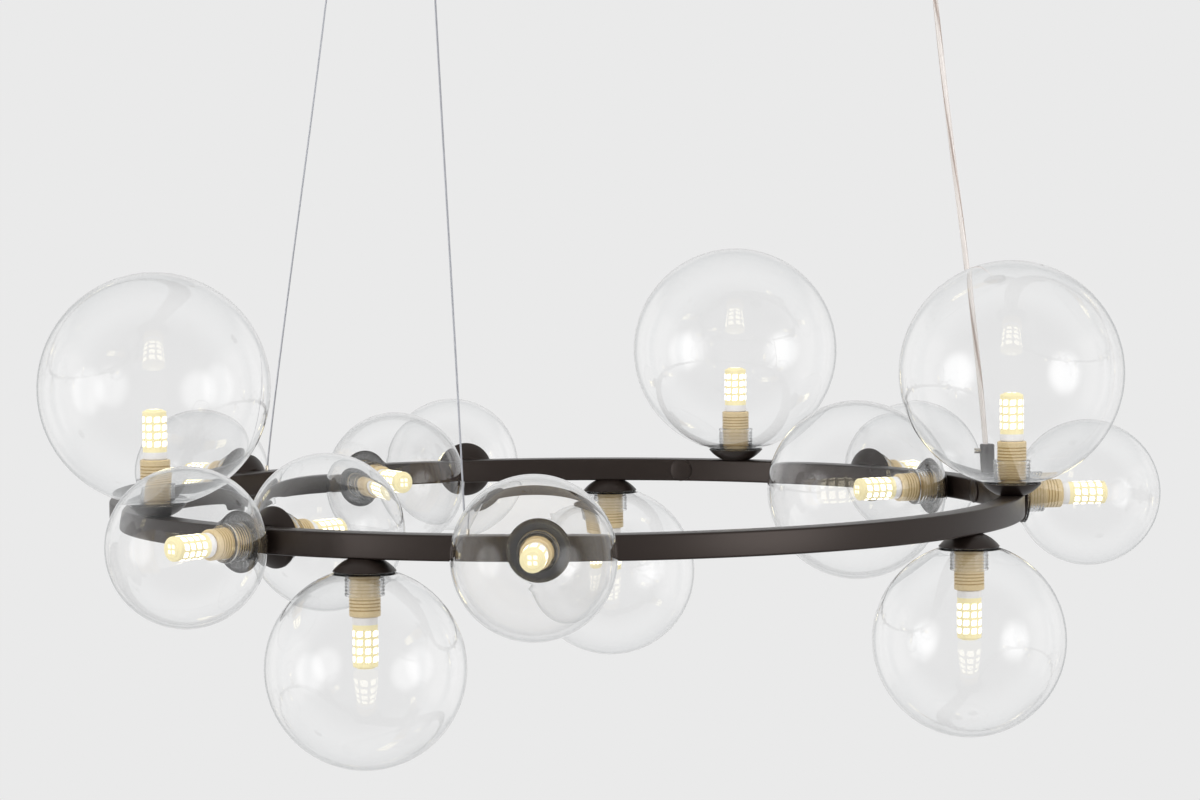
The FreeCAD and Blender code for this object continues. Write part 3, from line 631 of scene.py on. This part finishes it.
washer_line = rounded([[WASHER_BORE, CUP_DEPTH + WASHER / 2], [WASHER_BORE, CUP_DEPTH],
                       [WASHER_RADIUS, CUP_DEPTH], [WASHER_RADIUS, GLASS_FOOT],
                       [WASHER_BORE, GLASS_FOOT], [WASHER_BORE, CUP_DEPTH + WASHER / 2]],
                      [0, 0.15, 0.25, 0.25, 0.15, 0], 4)[:-1]
dress(at_every_lamp(washer_line, WASHER_STEPS).piece("washers", clear_washer), "fixture",
      "globe_washers")

# %% [markdown]
# The lampholder is a beige moulded barrel with screw ribs, on which the globe's
# neck is held. Each groove is a narrow V between two flat lands. Its faces are
# matt from the mould, and a darker beige is painted on them as the shade that falls
# in the grooves. A bump in the material would leave the outline smooth, so the ribs
# are in the mesh.

# %% Lampholders
HOLDER_RADIUS = 9.75
RIB_PITCH = 2.1
RIB_DEPTH = 0.5
RIB_COUNT = 13
GROOVE_HALF = 0.42
GROOVE_LEAD = 0.12
HOLDER_STEPS = 48
HOLDER_BORE = 5.0
HOLDER_START = HOLDER_FOOT + 2
RIB_FOOT = HOLDER_FOOT + 2.6
SOCKET_RADIUS = 7.4
SOCKET_FLOOR = HOLDER_END - 8.7

rib_top = RIB_FOOT + RIB_PITCH * RIB_COUNT
one_groove = np.array([[0, -GROOVE_HALF - GROOVE_LEAD], [0, -GROOVE_HALF], [-RIB_DEPTH, 0],
                       [0, GROOVE_HALF], [0, GROOVE_HALF + GROOVE_LEAD]])
rib_line = np.concatenate([one_groove + [HOLDER_RADIUS, RIB_FOOT + RIB_PITCH * (number + 0.5)]
                           for number in range(RIB_COUNT)])
foot_line = rounded([[HOLDER_BORE, HOLDER_START], [HOLDER_BORE, HOLDER_FOOT],
                     [HOLDER_RADIUS, HOLDER_FOOT], [HOLDER_RADIUS, RIB_FOOT]],
                    [0, 0.3, 0.4, 0])
head_line = rounded([[HOLDER_RADIUS, rib_top], [HOLDER_RADIUS, HOLDER_END],
                     [SOCKET_RADIUS, HOLDER_END], [SOCKET_RADIUS, SOCKET_FLOOR],
                     [HOLDER_BORE, SOCKET_FLOOR], [HOLDER_BORE, HOLDER_START]],
                    [0, 1.0, 0.3, 0.3, 0.3, 0])
holder_line = np.concatenate([foot_line[1:-1], rib_line, head_line[1:]])

# A groove's two faces are the steps of the outline that go in or out by nearly the
# whole depth of a rib. They get the darker beige, which is painted shade.
step_out = np.roll(holder_line, -1, axis=0)[:, 0] - holder_line[:, 0]
groove_shade_faces = (abs(step_out) > RIB_DEPTH * 0.9) & (holder_line[:, 1] < rib_top) & (
    holder_line[:, 1] > RIB_FOOT)
groove_shade_marks = np.repeat(groove_shade_faces.astype(int), HOLDER_STEPS)
holders = at_every_lamp(holder_line, HOLDER_STEPS, groove_shade_marks)
holders = dress(holders.piece("ribbed_lampholders", holder_beige, groove_painted_shade), "fixture",
                "lampholders")
print("triangles on the lampholders:", 2 * len(holders.data.polygons))

# %% [markdown]
# The lamp is a small cylinder with four rings of glowing chips and four more on
# its cap. The chips are low rounded pads, laid on the body by wrapping a flat
# pad round it. The board between them shines with their light. A pattern in the
# material would leave them flat at the lamp's outline. One lamp is worked out once
# and placed fifteen times.

# %% Lamps
LAMP_RADIUS = 8.0
LAMP_LOW = HOLDER_END + 0.3
LAMP_TIP = 68.0
LAMP_STEPS = 40
PLUG_RADIUS = 7.2
PLUG_END = LAMP_LOW - 8.5
BASE_RADIUS = LAMP_RADIUS - 0.2
BASE_TOP = LAMP_LOW + 4.6
BOARD_RADIUS = LAMP_RADIUS - 0.25
TIP_FOOT = LAMP_TIP - 3.0
TIP_BEVEL = 5.6
TIP_FLAT = 5.2
PIN_RADIUS = 0.7
PIN_PLACE = 4.5
PIN_END = LAMP_LOW - 22.7
PIN_STEPS = 12
ROW_FIRST = 10.0
ROW_PITCH = 5.25
ROW_COUNT = 4
CHIPS_ROUND = 9
CHIP_WIDTH = 4.2
CHIP_HEIGHT = 3.9
CHIP_RISE = 0.12
CHIP_SUNK = 0.27
END_CHIP_WIDTH = 2.6
END_CHIP_RISE = 0.3
END_CHIP_PLACE = 1.7
END_CHIP_SUNK = 0.03
PAD_STEPS = 5
CHIP, BOARD, BASE, PIN, END_CHIP = range(5)


def pad(width, height, rise):
    """A low cushion on a flat: x and y run over the pad, and its height is rise
    times (1 - u^6)(1 - v^6), with u and v from -1 to 1 across it."""
    steps = np.linspace(-1, 1, PAD_STEPS)
    u, v = np.meshgrid(steps, steps, indexing="ij")
    bulge = (1 - u ** 6) * (1 - v ** 6)
    return u * width / 2, v * height / 2, rise * bulge


def patch_faces(rows, columns):
    """Quads over an open grid."""
    row = np.arange(rows - 1)[:, None]
    column = np.arange(columns - 1)[None, :]
    first = row * columns + column
    quads = np.stack([first, first + columns, first + columns + 1, first + 1], axis=-1)
    return quads.reshape(-1, 4)


body_line = rounded([[0, PLUG_END], [PLUG_RADIUS, PLUG_END], [PLUG_RADIUS, LAMP_LOW],
                     [BASE_RADIUS, LAMP_LOW], [BASE_RADIUS, BASE_TOP]], [0, 0.4, 0, 0.4, 0], 4)
board_line = np.array([[BASE_RADIUS, BASE_TOP], [BOARD_RADIUS, BASE_TOP + 0.1],
                       [BOARD_RADIUS, TIP_FOOT]])
tip_line = rounded([[BOARD_RADIUS, TIP_FOOT], [BOARD_RADIUS, LAMP_TIP - 1.2],
                    [TIP_BEVEL, LAMP_TIP - 0.5], [TIP_FLAT, LAMP_TIP], [0, LAMP_TIP]],
                   [0, 0.8, 0.2, 0.2, 0], 4)
pin_line = rounded([[0, PIN_END], [PIN_RADIUS, PIN_END], [PIN_RADIUS, PLUG_END]], [0, 0.5, 0], 3)


def lamp_build():
    """One lamp in its own frame: base, board, tip, chips and pins."""
    build = Build()
    build.add(turned(body_line, LAMP_STEPS), BASE)
    build.add(turned(board_line, LAMP_STEPS), BOARD)
    build.add(turned(tip_line, LAMP_STEPS), BOARD)
    pad_faces = patch_faces(PAD_STEPS, PAD_STEPS)
    wide, tall, rise = pad(CHIP_WIDTH, CHIP_HEIGHT, CHIP_RISE)
    for row in range(ROW_COUNT):
        height = LAMP_LOW + ROW_FIRST + row * ROW_PITCH
        for chip in range(CHIPS_ROUND):
            angle = wide / LAMP_RADIUS + 2 * math.pi * chip / CHIPS_ROUND
            across = LAMP_RADIUS - CHIP_SUNK + rise
            build.add(np.stack([across * np.cos(angle), across * np.sin(angle), tall + height],
                               axis=-1), CHIP, faces=pad_faces)
    wide, tall, rise = pad(END_CHIP_WIDTH, END_CHIP_WIDTH, END_CHIP_RISE)
    for side in (-1, 1):
        for other in (-1, 1):
            build.add(np.stack([wide + side * END_CHIP_PLACE, tall + other * END_CHIP_PLACE,
                                rise + LAMP_TIP - END_CHIP_SUNK], axis=-1),
                      END_CHIP, faces=pad_faces)
    for side in (-1, 1):
        build.add(turned(pin_line, PIN_STEPS) + [side * PIN_PLACE, 0, 0], PIN)
    return build


one_lamp = lamp_build()
for number, lamp in enumerate(LAMP_FRAMES, start=1):
    build = Build()
    build.points = [placed(points, lamp) for points in one_lamp.points]
    build.faces, build.marks = one_lamp.faces, one_lamp.marks
    made = build.piece(f"led_lamp_{number:02d}", chip_light, lamp_board, lamp_white, nickel,
                       end_chip_light)
    dress(made, f"lamp_{number:02d}", f"lamp_{number:02d}")

# %% [markdown]
# The two wires and the cord hang straight between the ceiling and the ring. Each
# leaves its fitting upright and bends a little just outside it. The lines are
# smooth NURBS curves with the same points that the solids follow. They could be
# tubes of mesh, but a curve keeps its length and its bends measurable.

# %% Wires and cord
ANCHOR_CIRCLE = 252.9
ANCHOR_TURN = 10.74
FEET = {"power_cord": 14.0, "wire_left": 136.5, "wire_front": 258.0}
WIRE_RADIUS = 0.6
WIRE_FOOT, WIRE_HEAD = -5.2, -14.0
WIRE_STRAIGHT = 8.0
FERRULE = 4.0
CLAMP_END = 27.0
CORD_RADIUS = 1.9
CORD_FOOT, CORD_HEAD = -3.5, -20.0
CORD_STRAIGHT = 16.0
CORD_BEND = -62.0
GRIP_TOP = 24.0
LINE_STEPS = 24
LINE_ROUND = 6


def line_curve(name, points, radius, finish):
    """A round NURBS line with the points, in millimetres, as control points."""
    data = bpy.data.curves.new(name, "CURVE")
    data.dimensions = "3D"
    spline = data.splines.new("NURBS")
    spline.points.add(len(points) - 1)
    for point, place in zip(spline.points, points):
        point.co = (*(np.array(place) * MM), 1.0)
    spline.order_u = 3
    spline.use_endpoint_u = True
    spline.resolution_u = LINE_STEPS
    data.bevel_depth = radius * MM
    data.bevel_resolution = LINE_ROUND
    data.use_fill_caps = True
    data.materials.append(finish)
    made = bpy.data.objects.new(name, data)
    bpy.context.scene.collection.objects.link(made)
    return made


def hanging_points(name, order, low, bend_low, bend_high, high):
    """The route's four points: upright from low, across, and upright to high."""
    foot = radial(FEET[name]) * RING_RADIUS + RING_CENTRE
    head = radial(ANCHOR_TURN + 120 * order) * ANCHOR_CIRCLE
    ring_top = RING_CENTRE[2] + TUBE / 2
    return [(foot[0], foot[1], ring_top + low), (foot[0], foot[1], ring_top + bend_low),
            (head[0], head[1], bend_high), (head[0], head[1], high)]


def route_length(points):
    """The length of the runs from point to point, in metres."""
    return float(np.linalg.norm(np.diff(np.array(points), axis=0), axis=1).sum()) * MM


# %% [markdown]
# The cord's sheath is clear, and its two conductors are twisted together with the
# steel core. From outside they show as fine, slowly turning lines. Strands inside
# a clear tube would hardly show at this size, so the lines are in the material.

# %% Cord finish
TWIST_PITCH = 150.0
TWIST_CORES = 2.0
CORE_LINE = (0.55, 0.95)
SHEATH_COLOUR = "#F4EDE8"
CORE_COLOUR = "#B7A79E"


def twisted_cores(low, high):
    """Clear sheath over two twisted conductors. They show as two fine lines: the
    sine of twice the angle round the cord's axis, which runs from one point to
    the other, plus a slow turn with the height."""
    made, tree = material("clear_sheath_over_twisted_cores")
    place = node(tree, "ShaderNodeTexCoord").outputs["Object"]
    run = (high - low) / (high[2] - low[2])
    offsets = []
    for axis in (0, 1):
        across = node(tree, "ShaderNodeVectorMath",
                      {0: place, 1: (1.0 - axis, float(axis), -run[axis])},
                      operation="DOT_PRODUCT")
        offset = node(tree, "ShaderNodeMath",
                      {0: across.outputs["Value"], 1: (low[axis] - run[axis] * low[2]) * MM},
                      operation="SUBTRACT")
        offsets.append(offset.outputs[0])
    angle = node(tree, "ShaderNodeMath", {0: offsets[1], 1: offsets[0]}, operation="ARCTAN2")
    height = node(tree, "ShaderNodeSeparateXYZ", {"Vector": place}).outputs["Z"]
    twist = node(tree, "ShaderNodeMath", {0: height, 1: 2 * math.pi / (TWIST_PITCH * MM)},
                 operation="MULTIPLY")
    both = node(tree, "ShaderNodeMath",
                {0: angle.outputs[0], 1: TWIST_CORES, 2: twist.outputs[0]},
                operation="MULTIPLY_ADD")
    wave = node(tree, "ShaderNodeMath", {0: both.outputs[0]}, operation="SINE")
    share = node(tree, "ShaderNodeMapRange", {"Value": wave.outputs[0]},
                 From_Min=CORE_LINE[0], From_Max=CORE_LINE[1])
    band = node(tree, "ShaderNodeMix",
                {"Factor": share.outputs["Result"], 6: linear(SHEATH_COLOUR),
                 7: linear(CORE_COLOUR)}, data_type="RGBA")
    shader = node(tree, "ShaderNodeBsdfPrincipled", {"Base Color": band.outputs[2]},
                  Roughness=0.15, Transmission_Weight=0.45, IOR=1.5)
    return surface(made, tree, shader.outputs["BSDF"])


# %% Hanging the lines
for order, name in enumerate(("wire_left", "wire_front"), start=1):
    points = hanging_points(name, order, WIRE_FOOT, FERRULE + WIRE_STRAIGHT,
                            -CLAMP_END - WIRE_STRAIGHT, WIRE_HEAD)
    wire = line_curve(f"steel_{name}", points, WIRE_RADIUS, wire_steel)
    dress(wire, "fixture", name)
    print(name, "length", round(route_length(points), 4), "m")

cord_points = hanging_points("power_cord", 0, CORD_FOOT, GRIP_TOP + CORD_STRAIGHT, CORD_BEND,
                             CORD_HEAD)
cord = line_curve("clear_power_cord", cord_points, CORD_RADIUS,
                  twisted_cores(np.array(cord_points[1]), np.array(cord_points[2])))
dress(cord, "fixture", "power_cord")
print("cord length", round(route_length(cord_points), 4), "m")

# %% [markdown]
# The smaller solids come from the construction. Their shapes are right as they
# are at this size, so each only gets its finish.

# %% Finishes of the remaining solids
FINISHES = {
    "ring_bosses": zinc, "lamp_nipples": zinc, "cup_nuts": zinc, "lamp_contacts": brass,
    "live_lead": brown_wire, "neutral_lead": blue_wire, "wire_ferrules": nickel,
    "wire_stops": zinc, "cord_grip": grip_moulding, "grip_screw": nickel,
    "anchor_bases": nickel, "wire_clamps": nickel, "clamp_screw_left": nickel,
    "clamp_screw_front": nickel, "rose_strap": zinc, "rose_cover": charcoal,
    "rose_screws": nickel, "terminal_block": white_moulding, "rose_gland": black_moulding,
}
for name, finish in FINISHES.items():
    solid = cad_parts[name]
    solid.data.materials.clear()
    solid.data.materials.append(finish)
print("finished solids:", len(FINISHES))

# %% [markdown]
# The studio is a world of light with no walls. The camera sees a plain pale
# backdrop. Reflections and glass see a room of pale panels with darker gaps
# between them, which draw the lines in the glass, and two softboxes. What a kind
# of ray sees differs a little, as in a studio that is lit piece by piece: sharp
# reflections find the photographer's side unlit, the coat's broad highlights get
# stronger softboxes, and straight through the glass no softbox shows.

# %% Studio
BACKDROP = "#EAEAEA"
GAP = "#CDCFD0"
PANELS = 8
PANEL_HALF = 17.0
PANEL_BLUR = 0.25
SKYLINE = (0.36, 0.50)
SOFTBOXES = ((0.76, -0.65, 0.0), (-0.90, -0.44, 0.0))
SOFTBOX_REACH = 24.0
SOFTBOX_CORE = 5.0
SOFTBOX_GLOW = 1.8
COAT_GLOW = 5.0
UNLIT = 0.65
UNLIT_SIDE = (-0.1, 0.6)
THROUGH_GLASS = 1.06


def studio_world():
    """A panel is where the cosine of the azimuth times the number of panels is
    above its value at the panel's edge, and below the skyline. A softbox grows
    with the dot product of the ray and its direction, from its reach to its core.
    The light adds up as room, less the unlit side, plus each softbox's glow."""
    world = bpy.data.worlds.new("studio")
    world.use_nodes = True
    tree = world.node_tree
    tree.nodes.clear()
    place = node(tree, "ShaderNodeTexCoord").outputs["Generated"]
    parts = node(tree, "ShaderNodeSeparateXYZ", {"Vector": place}).outputs
    path = node(tree, "ShaderNodeLightPath").outputs
    azimuth = node(tree, "ShaderNodeMath", {0: parts["X"], 1: parts["Y"]}, operation="ARCTAN2")
    wave = node(tree, "ShaderNodeMath", {0: azimuth.outputs[0], 1: PANELS},
                operation="MULTIPLY")
    ripple = node(tree, "ShaderNodeMath", {0: wave.outputs[0]}, operation="COSINE")
    edge = math.cos(math.radians(PANEL_HALF) * PANELS)
    panel = node(tree, "ShaderNodeMapRange", {"Value": ripple.outputs[0]},
                 From_Min=edge - PANEL_BLUR, From_Max=edge + PANEL_BLUR)
    height = node(tree, "ShaderNodeMath", {0: parts["Z"]}, operation="ABSOLUTE")
    band = node(tree, "ShaderNodeMapRange", {"Value": height.outputs[0]},
                From_Min=SKYLINE[0], From_Max=SKYLINE[1], To_Min=1.0, To_Max=0.0)
    both = node(tree, "ShaderNodeMath",
                {0: panel.outputs["Result"], 1: band.outputs["Result"]}, operation="MULTIPLY")
    room = node(tree, "ShaderNodeMix",
                {"Factor": both.outputs[0], 6: linear(GAP), 7: linear(BACKDROP)},
                data_type="RGBA")
    seen = node(tree, "ShaderNodeMix",
                {"Factor": path["Is Camera Ray"], 6: room.outputs[2], 7: linear(BACKDROP)},
                data_type="RGBA")
    glows = []
    for softbox in SOFTBOXES:
        towards = node(tree, "ShaderNodeVectorMath", {0: place, 1: softbox},
                       operation="DOT_PRODUCT")
        soft = node(tree, "ShaderNodeMapRange", {"Value": towards.outputs["Value"]},
                    interpolation_type="SMOOTHERSTEP",
                    From_Min=math.cos(math.radians(SOFTBOX_REACH)),
                    From_Max=math.cos(math.radians(SOFTBOX_CORE)))
        glows.append(soft.outputs["Result"])
    near_side = node(tree, "ShaderNodeMath", {0: parts["Y"], 1: -1.0}, operation="MULTIPLY")
    unlit = node(tree, "ShaderNodeMapRange", {"Value": near_side.outputs[0]},
                 interpolation_type="SMOOTHSTEP", From_Min=UNLIT_SIDE[0],
                 From_Max=UNLIT_SIDE[1], To_Max=UNLIT)
    sharp = node(tree, "ShaderNodeMath", {0: path["Glossy Depth"], 1: path["Is Singular Ray"]},
                 operation="MULTIPLY", use_clamp=True)
    missing = node(tree, "ShaderNodeMath", {0: sharp.outputs[0], 1: unlit.outputs["Result"]},
                   operation="MULTIPLY")
    through = node(tree, "ShaderNodeMapRange", {"Value": sharp.outputs[0]},
                   To_Min=THROUGH_GLASS, To_Max=1.0)
    level = node(tree, "ShaderNodeMath",
                 {0: through.outputs["Result"], 1: missing.outputs[0]}, operation="SUBTRACT")
    blurred = node(tree, "ShaderNodeMath",
                   {0: path["Is Glossy Ray"], 1: path["Is Singular Ray"]},
                   operation="SUBTRACT", use_clamp=True)
    gain = node(tree, "ShaderNodeMapRange", {"Value": blurred.outputs[0]},
                To_Min=SOFTBOX_GLOW, To_Max=COAT_GLOW)
    straight = node(tree, "ShaderNodeMath",
                    {0: path["Is Transmission Ray"], 1: sharp.outputs[0]},
                    operation="SUBTRACT", use_clamp=True)
    hidden = node(tree, "ShaderNodeMapRange",
                  {"Value": straight.outputs[0], "To Min": gain.outputs["Result"]}, To_Max=0.0)
    for glow in glows:
        level = node(tree, "ShaderNodeMath",
                     {0: glow, 1: hidden.outputs["Result"], 2: level.outputs[0]},
                     operation="MULTIPLY_ADD")
    shown = node(tree, "ShaderNodeMix", {"Factor": path["Is Camera Ray"],
                                         "A": level.outputs[0]}, B=1.0)
    light = node(tree, "ShaderNodeBackground", {"Color": seen.outputs[2],
                                                "Strength": shown.outputs[0]})
    node(tree, "ShaderNodeOutputWorld", {"Surface": light.outputs["Background"]})
    return world


bpy.context.scene.world = studio_world()
print("world:", bpy.context.scene.world.name)

# %% [markdown]
# Three soft lamps light the object, one on each side and one above. They don't
# show in reflections or through glass, which see the softboxes of the world.

# %% Soft lamps
CENTRE = tuple(RING_CENTRE * MM)
SIDE_PLACE = (2.2, -1.6, 0.3)
SIDE_SIZE = (1.0, 1.4)
SIDE_POWER = 25
TOP_PLACE = (0.0, -0.3, 1.6)
TOP_SIZE = (1.6, 1.2)
TOP_POWER = 20


def soft_lamp(name, place, size, power):
    """A soft lamp at a place, aimed at the ring's centre, both in metres."""
    data = bpy.data.lights.new(name, "AREA")
    data.shape = "RECTANGLE"
    data.size, data.size_y = size
    data.energy = power
    lamp_object = bpy.data.objects.new(name, data)
    aim = Vector(CENTRE) - Vector(place)
    lamp_object.matrix_world = (Matrix.Translation(place)
                                @ aim.to_track_quat("-Z", "Y").to_matrix().to_4x4())
    lamp_object.visible_glossy = False
    lamp_object.visible_transmission = False
    bpy.context.scene.collection.objects.link(lamp_object)
    print(name, "gives", power, "watts")


for side in (-1, 1):
    place = (SIDE_PLACE[0] * side, *SIDE_PLACE[1:])
    soft_lamp(f"side_softbox_{side}", place, SIDE_SIZE, SIDE_POWER)
soft_lamp("top_softbox", TOP_PLACE, TOP_SIZE, TOP_POWER)

# %% [markdown]
# The floor is a wide pale disc, far below. Its paint fades out towards the rim,
# so that no edge shows against the backdrop.

# %% Floor
FLOOR_DROP = 3.4
FLOOR_RADIUS = 6.0
FLOOR_STEPS = 64
FLOOR_FADE = (0.35, 0.95)
FLOOR_PAINT = "#F2F2F2"


def floor_finish():
    """Matt pale paint that fades with the distance from the middle, and has no
    back, so that the chandelier shows from below. Reflections and glass look
    past it to the backdrop."""
    made, tree = material("pale_matt_floor")
    place = node(tree, "ShaderNodeTexCoord").outputs["Object"]
    level = node(tree, "ShaderNodeVectorMath", {0: place, 1: (1.0, 1.0, 0.0)},
                 operation="MULTIPLY")
    distance = node(tree, "ShaderNodeVectorMath", {0: level.outputs["Vector"]},
                    operation="LENGTH")
    solid = node(tree, "ShaderNodeMapRange", {"Value": distance.outputs["Value"]},
                 interpolation_type="SMOOTHSTEP", From_Min=FLOOR_RADIUS * FLOOR_FADE[0],
                 From_Max=FLOOR_RADIUS * FLOOR_FADE[1], To_Min=1.0, To_Max=0.0)
    path = node(tree, "ShaderNodeLightPath").outputs
    past = node(tree, "ShaderNodeMath",
                {0: path["Is Glossy Ray"], 1: path["Is Transmission Ray"]},
                operation="MAXIMUM")
    side = node(tree, "ShaderNodeNewGeometry")
    skipped = node(tree, "ShaderNodeMath", {0: past.outputs[0], 1: side.outputs["Backfacing"]},
                   operation="MAXIMUM")
    kept = node(tree, "ShaderNodeMath", {0: 1.0, 1: skipped.outputs[0]}, operation="SUBTRACT")
    shown = node(tree, "ShaderNodeMath", {0: kept.outputs[0], 1: solid.outputs["Result"]},
                 operation="MULTIPLY")
    paint = node(tree, "ShaderNodeBsdfDiffuse", Color=linear(FLOOR_PAINT))
    empty = node(tree, "ShaderNodeBsdfTransparent")
    both = node(tree, "ShaderNodeMixShader",
                {"Fac": shown.outputs[0], 1: empty.outputs["BSDF"], 2: paint.outputs["BSDF"]})
    return surface(made, tree, both.outputs["Shader"])


disc = np.array([[0.0, 0.0], [0.5, 0.0], [1.0, 0.0]]) * FLOOR_RADIUS / MM
disc_grid = turned(disc, FLOOR_STEPS) - [0, 0, FLOOR_DROP / MM]
floor = Build().add(disc_grid).piece("pale_floor", floor_finish())
if floor.data.polygons[0].normal.z < 0:
    floor.data.flip_normals()
print("floor radius:", FLOOR_RADIUS, "m")

# %% [markdown]
# Standard view keeps each colour as it is written.

# %% Colour view
bpy.context.scene.view_settings.view_transform = "Standard"
